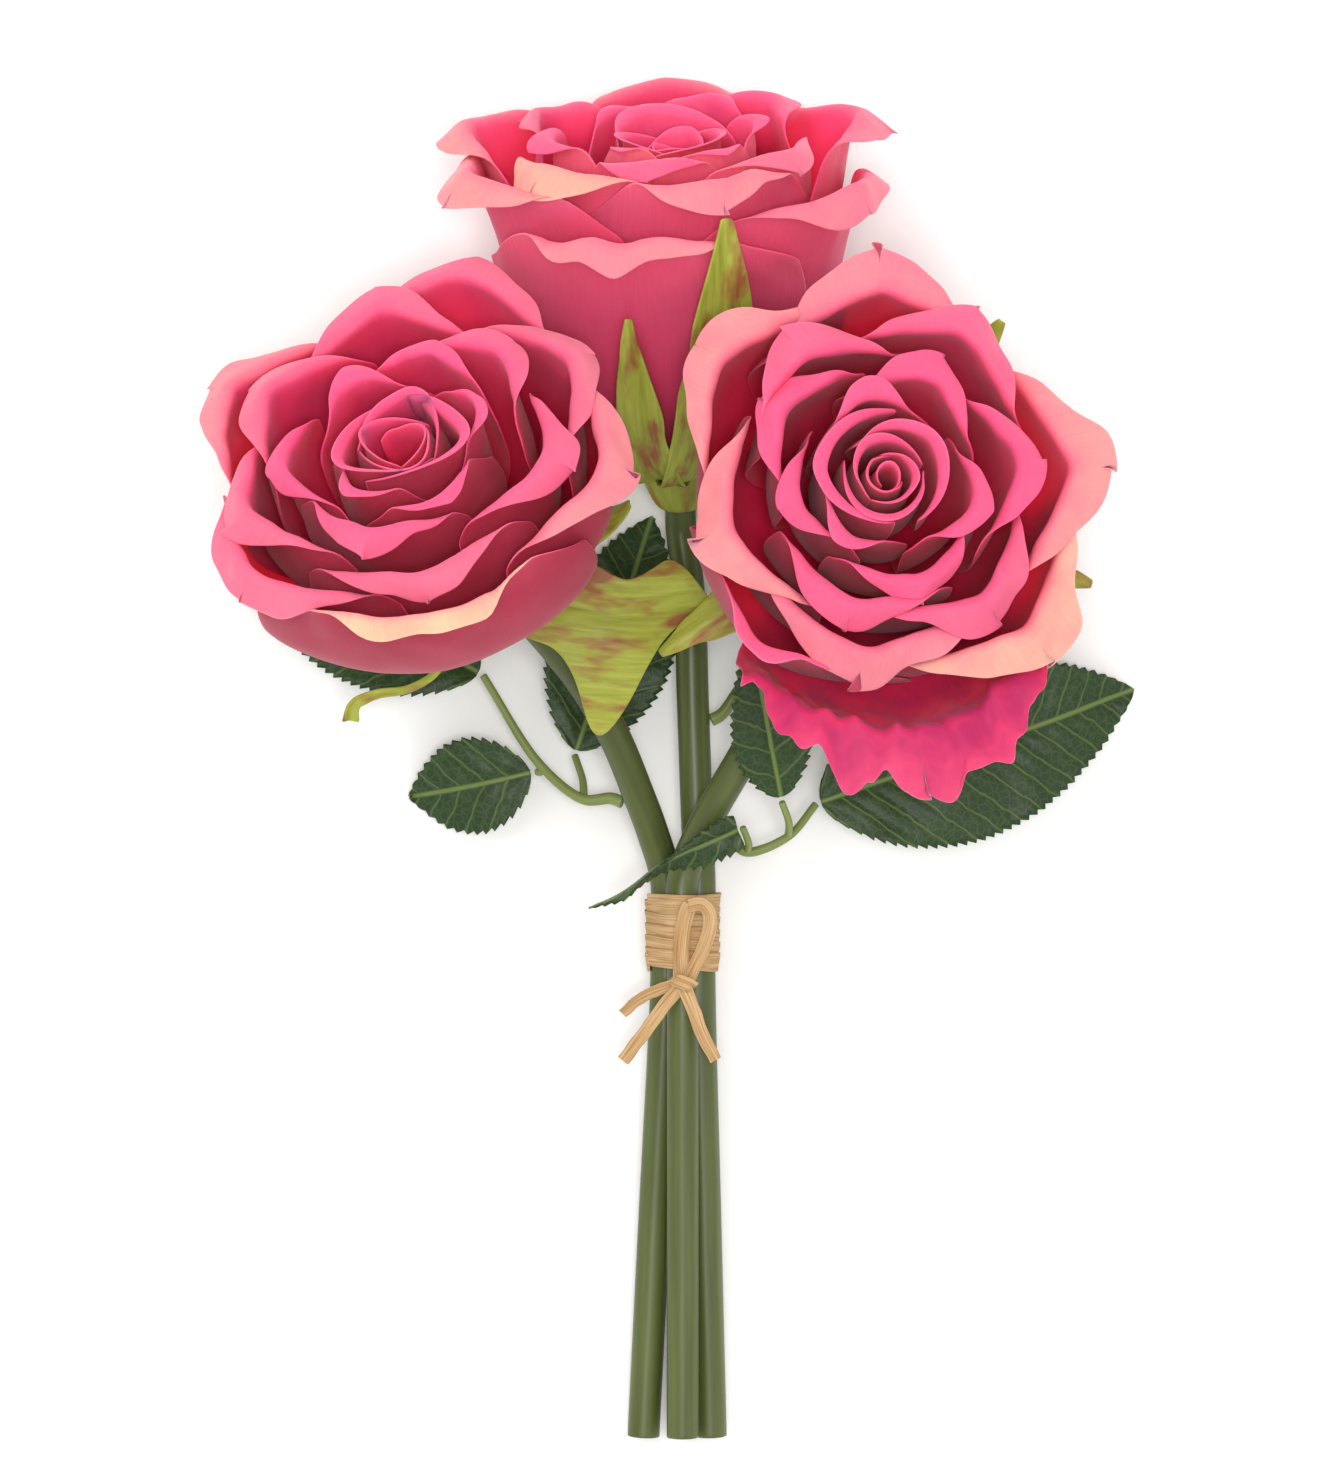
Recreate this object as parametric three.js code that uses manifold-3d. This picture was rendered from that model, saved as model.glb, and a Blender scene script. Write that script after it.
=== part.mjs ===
// A tied bunch of three open roses with their leaves, lying on a table. Millimetres, +Z up from the
// table, +Y from the cut stems to the heads. Every place is first written from the middle of the raffia
// band that ties the stems, and the last lines set the bunch down with its box centred on the origin.
import * as THREE from "three";
import { mergeVertices } from "three/addons/utils/BufferGeometryUtils.js";
import Module from "manifold-3d";

// Driving dimensions.
const HEAD_RADIUS = 50; // axis of a head to the edge of its outermost petals
const HEAD_DEPTH = 56; // foot of the petals to the plane of the rim
const PETAL_THICKNESS = 0.5;
const PETAL_WIDTH_INNER = 38;
const PETAL_WIDTH_OUTER = 58;
const CLAW_WIDTH = 5; // a petal where it meets the receptacle
const SEPAL_LENGTH = 48;
const SEPAL_WIDTH = 14;
const SEPAL_THICKNESS = 0.7;
const STEM_DIAMETER = 7;
const CUT_LENGTH = 110; // middle of the band to the cut ends
const STALK_DIAMETER = 2.2;
const LEAF_THICKNESS = 0.7;
const BAND_LENGTH = 17;
const BAND_WALL = 0.9;
const STRIP_WIDTH = 2.2; // one strip of raffia in the bow
const STRIP_THICKNESS = 0.7;
const GAP = 0.3; // between pieces that touch

// The routes and places above the band are written for this head radius, and spread out with it.
const WRITTEN_RADIUS = 50;
const WRITTEN_DEPTH = 56;
const spread = HEAD_RADIUS / WRITTEN_RADIUS;
const deepen = HEAD_DEPTH / WRITTEN_DEPTH;

const wasm = await Module();
wasm.setup();

const point = (x, y, z) => new THREE.Vector3(x, y, z);
const placed = (x, y, z) => point(x, y, z).multiplyScalar(spread);
const mix = THREE.MathUtils.lerp;
const turn = THREE.MathUtils.degToRad;

function finish(colour, roughness) {
  return new THREE.MeshStandardMaterial({ color: colour, roughness, metalness: 0 });
}
const petalFinish = finish(0xe8487a, 0.55);
const budFinish = finish(0xd92a58, 0.55);
const sepalFinish = finish(0x8d9a3c, 0.6);
const stemFinish = finish(0x5f7036, 0.4);
const leafFinish = finish(0x2c5231, 0.5);
const raffiaFinish = finish(0xd8aa70, 0.75);

const bunch = new THREE.Group();

function add(group, name, geometry, material) {
  const mesh = new THREE.Mesh(geometry, material);
  mesh.name = name;
  group.add(mesh);
  return mesh;
}

// A thin closed sheet: a flat box bent onto surface(across -1..1, along 0..1), thickness set off equally.
function sheet(columns, rows, thickness, surface) {
  const geometry = new THREE.BoxGeometry(2, 1, 1, columns, rows, 1);
  const position = geometry.getAttribute("position");
  const step = 1e-3;
  for (let i = 0; i < position.count; i++) {
    const across = position.getX(i);
    const along = position.getY(i) + 0.5;
    const side = position.getZ(i);
    const up = surface(across, Math.min(along + step, 1)).sub(surface(across, Math.max(along - step, 0)));
    const over = surface(across + step, along).sub(surface(across - step, along));
    const out = over.cross(up).normalize();
    const bent = surface(across, along).addScaledVector(out, side * thickness);
    position.setXYZ(i, bent.x, bent.y, bent.z);
  }
  return geometry;
}

// A round tube along a curve, with flat ends. A full circle gets two sides for each curve segment.
function tube(curve, radius, sides, steps) {
  const section = new THREE.Shape().absarc(0, 0, radius, 0, 2 * Math.PI, false);
  return new THREE.ExtrudeGeometry(section, { steps, curveSegments: sides / 2, extrudePath: curve });
}

function smooth(points) {
  return new THREE.CatmullRomCurve3(points, false, "centripetal");
}

function solid(geometry) {
  const bare = geometry.clone();
  bare.deleteAttribute("normal");
  bare.deleteAttribute("uv");
  const merged = mergeVertices(bare, 1e-4);
  const vertProperties = new Float32Array(merged.getAttribute("position").array);
  const triVerts = new Uint32Array(merged.index.array);
  return new wasm.Manifold(new wasm.Mesh({ numProp: 3, vertProperties, triVerts }));
}

// Geometries that grow together, joined into one.
function joined(geometries) {
  const whole = geometries.map(solid).reduce((a, b) => a.add(b));
  const mesh = whole.getMesh();
  return new THREE.BufferGeometry()
    .setAttribute("position", new THREE.BufferAttribute(mesh.vertProperties, 3))
    .setIndex(new THREE.BufferAttribute(mesh.triVerts, 1));
}

// ---- Heads -------------------------------------------------------------------------------------

// Section of a head from the foot of a petal to its edge, as radius and height at equal steps. Petals
// lie between the inner and the outer one, each on its own layer, like bowls stacked in each other. The
// outer one is a round bowl on two of the heads, and a deep cup with a flared rim on the top one.
const innerSection = [[3.6, 0.3], [15.5, 8], [22, 22], [24, 37], [23, 51]];
const bowl = [[10.5, -2.6], [31, 1.5], [43.5, 13.5], [47.5, 27.5], [50, 41.5]];
const cup = [[10.5, -2.6], [24, 2.5], [34, 14], [40, 30], [50, 47]];
const BUD_RADIUS_SHARE = 0.86; // the rolled heart against the innermost layer
const LAYERS = 12;

function sectionCurve(layer, outerSection) {
  const share = layer / (LAYERS - 1);
  return new THREE.SplineCurve(
    innerSection.map(([r, z], i) => {
      const [outerR, outerZ] = outerSection[i];
      return new THREE.Vector2(mix(r, outerR, share) * spread, mix(z, outerZ, share) * deepen);
    }),
  );
}

// A petal is narrow at its claw, widest above the middle, and rounded off at its edge.
function petal(layer, azimuth, outerSection) {
  const section = sectionCurve(layer, outerSection);
  const widest = mix(PETAL_WIDTH_INNER, PETAL_WIDTH_OUTER, layer / (LAYERS - 1)) / 2;
  const centre = turn(azimuth);
  const shoulder = 0.16; // how far the edge falls towards the sides
  return sheet(6, 5, PETAL_THICKNESS, (across, along) => {
    const reach = along * (1 - shoulder * across ** 2 * along);
    const at = section.getPoint(reach);
    const width = mix(CLAW_WIDTH / 2, widest, Math.sin(along * Math.PI * 0.6) ** 0.9);
    const angle = centre - (across * width) / Math.max(at.x, 1);
    return point(at.x * Math.cos(angle), at.x * Math.sin(angle), at.y);
  });
}

// The heart of a head, where the petals are still rolled into one another.
function bud() {
  const share = BUD_RADIUS_SHARE;
  const section = sectionCurve(0, bowl);
  const outline = [[0, 1.6], [2.6, 1.6]];
  for (let i = 1; i <= 9; i++) {
    const at = section.getPoint(i / 10);
    outline.push([at.x * share - 1, at.y + 1.5]);
  }
  outline.push([section.getPoint(1).x * share * 0.7, HEAD_DEPTH * 0.85], [0, HEAD_DEPTH * 0.8]);
  return new THREE.LatheGeometry(outline.map(([r, z]) => new THREE.Vector2(r, z)), 14).rotateX(Math.PI / 2);
}

// A sepal's section from the receptacle to its tip: hugging a bowl or a cup, level, or bent back.
const huggingBowl = [[7, -4.9], [19, -4.6], [32.5, -0.3], [43.5, 11], [49, 23]];
const huggingCup = [[7, -4.9], [16, -4.4], [26, 0.6], [36, 12], [41.5, 25]];
const level = [[7, -4.9], [18, -6.6], [30, -8], [41, -9.5], [51, -12]];
const bentBack = [[7, -4.9], [15, -8.5], [23, -16], [28, -26], [29, -37]];

// The lifts are written for this length, and a longer sepal leans closer to its own head, so that it
// stays clear of the next head's sepals. One longer than its section runs straight on past its end.
const WRITTEN_SEPAL = 48;
const LEAN = 2.5; // how fast the lean follows the length
const lengthen = SEPAL_LENGTH / WRITTEN_SEPAL;

function runOn(section, share) {
  const past = Math.max(share - 1, 0) * section.getLength();
  return section.getPoint(Math.min(share, 1)).addScaledVector(section.getTangent(1), past);
}

function sepal(hugging, azimuth, lift, share, breadth = 1) {
  const toward = lift >= 0 ? hugging : bentBack;
  const amount = lift >= 0 ? 1 - (1 - lift) / lengthen ** LEAN : -lift;
  const section = new THREE.SplineCurve(
    level.map(([r, z], i) => {
      const at = new THREE.Vector2(mix(r, toward[i][0], amount), mix(z, toward[i][1], amount));
      return at.multiply(new THREE.Vector2(spread, deepen));
    }),
  );
  const reach = (share * SEPAL_LENGTH) / section.getLength();
  const centre = turn(azimuth);
  return sheet(2, 6, SEPAL_THICKNESS, (across, along) => {
    const at = runOn(section, along * reach);
    const width = (SEPAL_WIDTH / 2) * breadth * (0.12 + 0.88 * Math.sin(Math.PI * (0.25 + 0.75 * along)));
    const sideways = across * width;
    return point(
      at.x * Math.cos(centre) + sideways * Math.sin(centre),
      at.x * Math.sin(centre) - sideways * Math.cos(centre),
      at.y,
    );
  });
}

const RECEPTACLE_FOOT = -13; // below the petals' foot, where the stem ends

// The receptacle under the petals, grown together with its five sepals.
function calyx(hugging, sepals) {
  const cone = [[5.4, -11], [6.6, -8.4], [7.6, -6], [8.6, -4.2], [0, -4.2]];
  const outline = [
    new THREE.Vector2(0, RECEPTACLE_FOOT),
    new THREE.Vector2(STEM_DIAMETER / 2, RECEPTACLE_FOOT),
    ...cone.map(([r, z]) => new THREE.Vector2(r * spread, z)),
  ];
  const receptacle = new THREE.LatheGeometry(outline, 14);
  return joined([receptacle.rotateX(Math.PI / 2), ...sepals.map((shape) => sepal(hugging, ...shape))]);
}

// A head's own axes: its axis is +Z, and +X stays as near as it can to the bunch's +X.
function headFrame({ foot, axis, shape }) {
  const z = axis.clone().normalize();
  const x = point(1, 0, 0).addScaledVector(z, -z.x).normalize();
  const frame = new THREE.Matrix4().makeBasis(x, z.clone().cross(x), z);
  return frame.scale(shape).setPosition(foot);
}

// Azimuths run from a head's +X towards its +Y, and petals are listed from the innermost out. A sepal is
// its azimuth, its lift from level, its share of the full length and, on a broad one, of the full width.
const heads = {
  left: {
    foot: placed(-52.5, 82, 42),
    axis: point(-0.2, 0.57, 0.8),
    shape: point(0.98, 0.94, 1),
    outer: bowl,
    hugging: huggingBowl,
    petals: [42, 150, 341, 206, 97, 278, 26, 150, 226, 346, 72, 270],
    sepals: [[10, 0.5, 0.8], [325, -0.15, 1, 1.5], [246, -0.25, 0.95, 0.8], [150, 0.5, 0.9], [80, 0.8, 0.8]],
  },
  right: {
    foot: placed(38.5, 90, 40),
    axis: point(0.12, 0.2, 0.972),
    shape: point(0.98, 0.98, 1),
    outer: bowl,
    hugging: huggingBowl,
    petals: [255, 126, 308, 62, 200, 262, 4, 92, 145, 313, 234, 280],
    sepals: [[355, 0.35, 1], [55, 0.6, 1], [120, 0.9, 0.5], [200, 0.9, 0.6], [272, -0.1, 1]],
  },
  top: {
    foot: placed(-1.1, 110, 6),
    axis: point(-0.03, 0.935, 0.353),
    shape: point(1.04, 0.92, 1.4),
    outer: cup,
    hugging: huggingCup,
    petals: [262, 42, 150, 318, 226, 90, 285, 15, 161, 209, 325, 258],
    sepals: [[284, 0.98, 1.5, 1.2], [258, 0.95, 1.1, 0.9], [182, 0.9, 0.95], [112, 1, 0.55], [40, 1, 0.6]],
  },
};

function addHead(name, head) {
  const group = new THREE.Group();
  group.applyMatrix4(headFrame(head));
  head.petals.forEach((azimuth, layer) => {
    const number = String(layer + 1).padStart(2, "0");
    add(group, `${name}_petal_${number}`, petal(layer, azimuth, head.outer), petalFinish);
  });
  add(group, `${name}_bud`, bud(), budFinish);
  add(group, `${name}_calyx`, calyx(head.hugging, head.sepals), sepalFinish);
  bunch.add(group);
}

// ---- Stems -------------------------------------------------------------------------------------

// Three stems lie against each other under the band, two below and one on top.
const stemRadius = STEM_DIAMETER / 2;
const ringRadius = (STEM_DIAMETER + GAP) / Math.sqrt(3);
const bundle = {
  left: point(-(STEM_DIAMETER + GAP) / 2, 0, -ringRadius / 2),
  top: point((STEM_DIAMETER + GAP) / 2, 0, -ringRadius / 2),
  right: point(0, 0, ringRadius),
};
const bandRadius = stemRadius + GAP + BAND_WALL; // round each stem's centre
for (const [name, head] of Object.entries(heads)) addHead(name, head);
// The lowest head or the band touches the table, and the cut ends and leaf tips come down to it.
const lowestPetal = new THREE.Box3().setFromObject(bunch, true).min.z;
const tableZ = Math.min(lowestPetal, -ringRadius / 2 - bandRadius);
const restingZ = tableZ + stemRadius;
const straightHalf = BAND_LENGTH / 2 + 3;

const stems = {
  left: {
    cut: point(-2.45 * stemRadius, -CUT_LENGTH, restingZ),
    route: [
      placed(-6.3, 21, 0.5),
      placed(-9.6, 30, 3.5),
      placed(-16, 45, 12),
      placed(-26, 60, 20),
      placed(-40, 73, 24),
    ],
  },
  right: {
    cut: point(0, -CUT_LENGTH, restingZ + 1.75 * stemRadius),
    route: [placed(3.9, 22, 6), placed(13.3, 38.7, 10.5), placed(23.5, 56, 15.5), placed(32, 72, 18.5)],
  },
  top: {
    cut: point(1.75 * stemRadius, -CUT_LENGTH, restingZ),
    route: [placed(3.2, 22, -2.8), placed(2.2, 50, -3.2), placed(1.4, 74, -2.6)],
  },
};

function stemCurve(name) {
  const { cut, route } = stems[name];
  const { foot, axis, shape } = heads[name];
  const along = axis.clone().normalize();
  const topEnd = foot.clone().addScaledVector(along, RECEPTACLE_FOOT * shape.z - GAP);
  const beforeEnd = topEnd.clone().addScaledVector(along, -5 * spread);
  const tied = [-straightHalf, 0, straightHalf].map((y) => bundle[name].clone().setY(y));
  const midway = cut.clone().lerp(tied[0], 0.5);
  return smooth([cut, midway, ...tied, ...route, beforeEnd, topEnd]);
}
const stemCurves = Object.fromEntries(Object.keys(stems).map((name) => [name, stemCurve(name)]));

function addStem(name) {
  add(bunch, `${name}_stem`, tube(stemCurves[name], stemRadius, 12, 34), stemFinish);
}

// ---- Leaves ------------------------------------------------------------------------------------

const stalkRadius = STALK_DIAMETER / 2;
const onTable = (x, y) => point(x * spread, y * spread, tableZ + 1.5);

// A leaflet from its base to its tip: folded up along the midrib, bowed along its length.
function leaflet({ base, tip, width, facing, fold, bow }) {
  const y = tip.clone().sub(base);
  const length = y.length();
  y.normalize();
  const z = facing.clone().addScaledVector(y, -facing.dot(y)).normalize();
  const frame = new THREE.Matrix4().makeBasis(y.clone().cross(z), y, z).setPosition(base);
  return sheet(4, 6, LEAF_THICKNESS, (across, along) => {
    const half = (width / 2) * (0.07 + 0.93 * Math.sin(Math.PI * along ** 0.8) ** 0.8);
    const lift = Math.abs(across) * half * fold + bow * length * 4 * along * (1 - along);
    return point(across * half, along * length, lift).applyMatrix4(frame);
  });
}

// Each compound leaf: where its stalk leaves the stem, its route, two side stalks, and three leaflets.
const leaves = {
  left: {
    leavesStemAt: placed(-9.2, 27, 3),
    start: point(-1, 0.35, -0.3),
    route: [placed(-21.5, 29, 0), placed(-31, 36.5, -3), placed(-43.5, 56, -5.5)],
    branches: [
      { from: 1, to: placed(-32, 35, -3.4) },
      { from: 0, to: placed(-23.5, 38.6, -6) },
    ],
    leaflets: [
      { tip: onTable(-97, 84), width: 31, facing: point(0.1, 0.1, 1), fold: 0.12, bow: 0.05 },
      { tip: onTable(-59.5, 29.5), width: 22, facing: point(0, -0.1, 1), fold: 0.15, bow: 0.08 },
      { tip: onTable(-6.5, 91), width: 28, facing: point(0.1, 0, 1), fold: 0.1, bow: 0 },
    ],
  },
  right: {
    leavesStemAt: placed(3.4, 20, 5.6),
    start: point(1, 0, 0.1),
    route: [placed(14, 17.6, 5.5), placed(23, 21, 4), placed(29, 28, 1)],
    branches: [
      { from: 1, to: placed(21.5, 28.5, 11) },
      { from: 0, to: placed(13, 23, 12) },
    ],
    leaflets: [
      { tip: onTable(99, 53), width: 38, facing: point(0.05, -0.1, 1), fold: 0.12, bow: 0.03 },
      { tip: placed(14, 64, 23.5), width: 20, facing: point(0.35, -0.2, 1), fold: 0.3, bow: 0.03 },
      { tip: placed(-20.5, 5.5, 12.5), width: 12, facing: point(0.1, 0.5, 1), fold: 0.35, bow: 0.06 },
    ],
  },
  top: {
    leavesStemAt: placed(2.6, 44, -3.2),
    start: point(1, 0.6, -0.1),
    route: [placed(13, 54, -4), placed(25, 68, -6), placed(35, 80, -7)],
    branches: [
      { from: 1, to: placed(31, 65, -7) },
      { from: 1, to: placed(22.5, 76, -8.5) },
    ],
    leaflets: [
      { tip: onTable(74, 118), width: 32, facing: point(0, 0, 1), fold: 0.1, bow: 0.04 },
      { tip: onTable(72, 66), width: 26, facing: point(0, 0, 1), fold: 0.1, bow: 0.04 },
      { tip: onTable(27, 112), width: 20, facing: point(0, 0, 1), fold: 0.1, bow: 0 },
    ],
  },
};

function addLeaf(name, leaf) {
  const out = leaf.start.clone().normalize();
  const clear = stemRadius + GAP + stalkRadius * 0.4;
  const from = leaf.leavesStemAt.clone().addScaledVector(out, clear);
  const main = [from, from.clone().addScaledVector(out, 2.5 * stalkRadius), ...leaf.route];
  const ends = [main.at(-1), ...leaf.branches.map((b) => b.to)];
  const branches = leaf.branches.map((branch) => smooth([leaf.route[branch.from], branch.to]));
  add(bunch, `${name}_leaf_stalk`, joined([
    tube(smooth(main), stalkRadius, 6, 14),
    ...branches.map((curve) => tube(curve, stalkRadius * 0.8, 6, 3)),
  ]), sepalFinish);
  leaf.leaflets.forEach((one, i) => {
    const toTip = one.tip.clone().sub(ends[i]).normalize();
    const base = ends[i].clone().addScaledVector(toTip, stalkRadius + GAP);
    add(bunch, `${name}_leaflet_${i + 1}`, leaflet({ ...one, base }), leafFinish);
  });
}

// ---- Raffia ------------------------------------------------------------------------------------

// The hull of the three tied stems, set off by offset, as one closed outline of arcs and straights.
function roundStems(path, offset) {
  const corners = [bundle.left, bundle.top, bundle.right];
  const first = [-150, -90, 30].map(turn); // where each corner's arc starts, going round anticlockwise
  corners.forEach((corner, i) => {
    const begin = i === 0 ? turn(-210) : first[i];
    path.absarc(corner.x, corner.z, stemRadius + offset, begin, begin + turn(120), false);
  });
  path.closePath();
  return path;
}

function band() {
  const outline = roundStems(new THREE.Shape(), GAP + BAND_WALL);
  outline.holes.push(roundStems(new THREE.Path(), GAP));
  const settings = { depth: BAND_LENGTH, bevelEnabled: false, curveSegments: 4 };
  const ring = new THREE.ExtrudeGeometry(outline, settings);
  return ring.translate(0, 0, -BAND_LENGTH / 2).rotateX(Math.PI / 2);
}

// A flat strip of raffia along a curve.
function strip(points) {
  const w = STRIP_WIDTH / 2;
  const t = STRIP_THICKNESS / 2;
  const section = new THREE.Shape([
    new THREE.Vector2(-t, -w),
    new THREE.Vector2(t, -w),
    new THREE.Vector2(t, w),
    new THREE.Vector2(-t, w),
  ]);
  return new THREE.ExtrudeGeometry(section, { steps: 8, extrudePath: smooth(points) });
}

// The bow lies on top of the band: a knot just below it, one long loop and three cut tails.
function bow() {
  const surface = ringRadius + bandRadius + GAP + STRIP_WIDTH / 2;
  const knot = point(0, -BAND_LENGTH / 2 - 2.2, surface + 0.6);
  const from = (x, y, z) => point(knot.x + x, knot.y + y, knot.z + z);
  const lump = new THREE.SphereGeometry(1, 10, 7).scale(2.4, 2.6, 1.9).translate(knot.x, knot.y, knot.z);
  return joined([
    lump,
    strip([from(0, 0, 0), from(0.6, 7, 0.6), from(1.6, BAND_LENGTH - 1, 0.8), from(4, BAND_LENGTH, 1.2),
      from(5.2, BAND_LENGTH - 3, 1.2), from(3.4, 6, 0.8), from(0.4, 0, 0)]),
    strip([from(0, 0, 0), from(-5, -1.4, 0.2), from(-10, -2.2, -0.4), from(-13.3, -5, -1)]),
    strip([from(0, 0, 0), from(-4, -5, 0.3), from(-8.5, -11, 0), from(-13, -17, -0.6)]),
    strip([from(0, 0, 0), from(2, -5, 0.4), from(4, -11, 0), from(7, -17, -0.4)]),
  ]);
}

// ---- The bunch ---------------------------------------------------------------------------------

for (const name of Object.keys(stems)) addStem(name);
for (const [name, leaf] of Object.entries(leaves)) addLeaf(name, leaf);
add(bunch, "raffia_band", band(), raffiaFinish);
add(bunch, "raffia_bow", bow(), raffiaFinish);

// Set down: the lowest point on the table, and the box centred over the origin.
const box = new THREE.Box3().setFromObject(bunch, true);
const middle = box.getCenter(new THREE.Vector3());
bunch.position.set(-middle.x, -middle.y, -box.min.z);

export default bunch;
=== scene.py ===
import math

import bmesh
import bpy
import numpy as np
from mathutils import Matrix, Vector, noise
from mathutils.bvhtree import BVHTree


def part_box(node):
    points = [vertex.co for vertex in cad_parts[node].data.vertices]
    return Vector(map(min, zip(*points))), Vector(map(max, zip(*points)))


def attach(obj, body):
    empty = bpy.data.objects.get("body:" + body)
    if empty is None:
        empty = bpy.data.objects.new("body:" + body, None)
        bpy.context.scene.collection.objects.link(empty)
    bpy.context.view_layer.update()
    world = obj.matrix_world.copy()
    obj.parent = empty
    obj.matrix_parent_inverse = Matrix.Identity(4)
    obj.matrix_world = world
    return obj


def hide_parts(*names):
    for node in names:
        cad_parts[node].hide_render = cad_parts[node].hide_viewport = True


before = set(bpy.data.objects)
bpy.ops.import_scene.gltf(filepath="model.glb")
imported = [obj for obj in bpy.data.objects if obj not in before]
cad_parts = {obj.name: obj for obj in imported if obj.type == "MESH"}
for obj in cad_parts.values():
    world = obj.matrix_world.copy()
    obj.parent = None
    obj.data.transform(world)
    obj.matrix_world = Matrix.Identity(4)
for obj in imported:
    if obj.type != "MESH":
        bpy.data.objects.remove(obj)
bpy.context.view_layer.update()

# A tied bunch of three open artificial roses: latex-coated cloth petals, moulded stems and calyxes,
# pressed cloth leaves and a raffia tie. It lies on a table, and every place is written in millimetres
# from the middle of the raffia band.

MM = 0.001

STEM_RADIUS = 3.5
GAP = 0.3
RING_RADIUS = (2 * STEM_RADIUS + GAP) / math.sqrt(3)  # centre of the tied stems to each stem's centre

band_low, band_high = (Vector(corner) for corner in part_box("raffia_band"))
TIE = (band_low + band_high) / 2 - Vector((0, 0, RING_RADIUS / 4 * MM))
TABLE = -TIE.z / MM  # the table's height below the tie


def place(points):
    """Millimetres from the tie to metres in the shared frame."""
    return np.array(TIE) + np.asarray(points, dtype=float) * MM


# ---- Materials ---------------------------------------------------------------------------------


def linear(colour):
    """A material colour from its sRGB hex value."""
    parts = [int(colour[i:i + 2], 16) / 255 for i in (1, 3, 5)]
    return [c / 12.92 if c <= 0.04045 else ((c + 0.055) / 1.055) ** 2.4 for c in parts] + [1]


def node(tree, kind, inputs, out=0, stops=(), **settings):
    """Adds a node and gives back one of its outputs. An input is a hex colour, a value or an output."""
    made = tree.nodes.new(kind)
    for name, value in settings.items():
        setattr(made, name, value)
    for key, value in inputs.items():
        if isinstance(value, bpy.types.NodeSocket):
            tree.links.new(value, made.inputs[key])
        else:
            made.inputs[key].default_value = linear(value) if isinstance(value, str) else value
    if stops:
        while len(made.color_ramp.elements) < len(stops):
            made.color_ramp.elements.new(0.5)
        for element, (position, colour) in zip(made.color_ramp.elements, stops):
            element.position = position
            element.color = linear(colour)
    return made.outputs[out]


def new_material(name, **surface):
    """A material with one Principled shader, whose constant values are given by socket name."""
    material = bpy.data.materials.new(name)
    material.use_nodes = True
    tree = material.node_tree
    shader = tree.nodes["Principled BSDF"]
    for key, value in surface.items():
        socket = shader.inputs[key.replace("_", " ")]
        socket.default_value = linear(value) if isinstance(value, str) else value
    return material, tree, shader


NOISE, MIX, MATH = "ShaderNodeTexNoise", "ShaderNodeMix", "ShaderNodeMath"
MAPPING, ATTRIBUTE, RAMP, BUMP = ("ShaderNodeMapping", "ShaderNodeAttribute", "ShaderNodeValToRGB",
                                  "ShaderNodeBump")

# Sizes of the petals' patterns in millimetres.
MOTTLE = 9.0
VEIN_WIDTH = 0.55
VEIN_LENGTH = 9.0


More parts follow.
